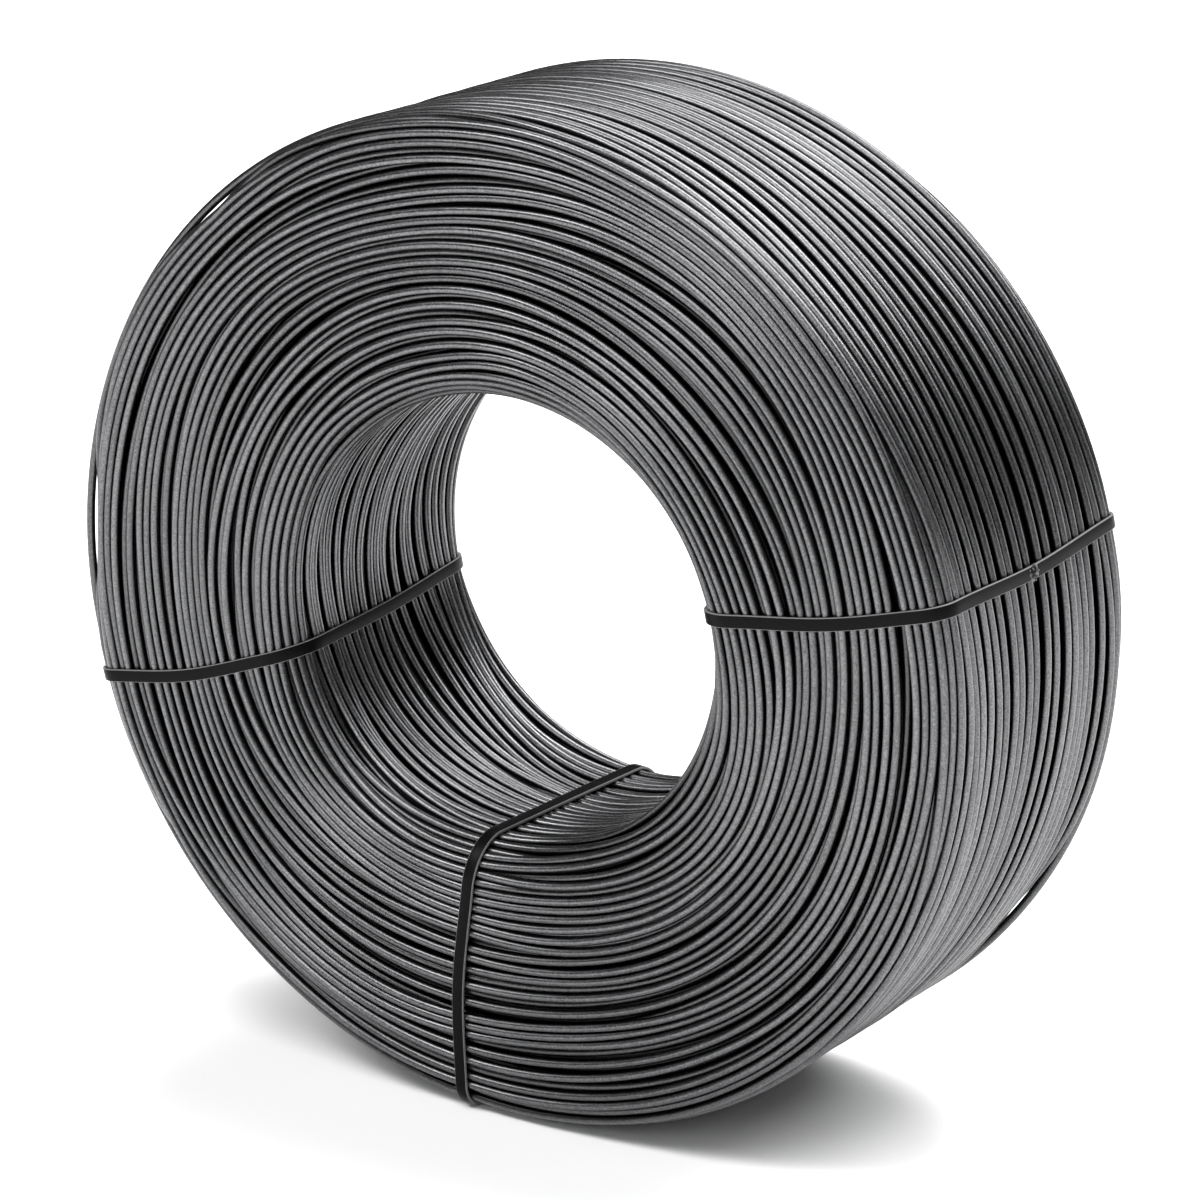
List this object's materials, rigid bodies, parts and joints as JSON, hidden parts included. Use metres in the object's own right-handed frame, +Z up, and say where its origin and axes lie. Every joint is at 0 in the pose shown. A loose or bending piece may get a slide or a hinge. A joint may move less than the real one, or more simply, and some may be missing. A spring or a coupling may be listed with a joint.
{
  "type": "coil of tie wire",
  "caption": "Thick ring of wound dark annealed tie wire with an open bore, held by flat plastic straps round its section and standing on its rim.",
  "frame": {"origin": "on the floor below the middle of the coil, where it stands on its rim", "axes": "+Y along the coil's axis, from the front end to the back end; +Z up; +X to the right, seen from the front end"},
  "size_m": [0.18, 0.0634, 0.18],
  "materials": {
    "annealed_wire": "black annealed, satin, dry",
    "strap_plastic": "smooth, slightly glossy on its edges"
  },
  "bodies": {
    "root": {"wire_coil": "annealed_wire", "strap_right": "strap_plastic", "strap_left": "strap_plastic", "strap_bottom": "strap_plastic"}
  },
  "joints": []
}
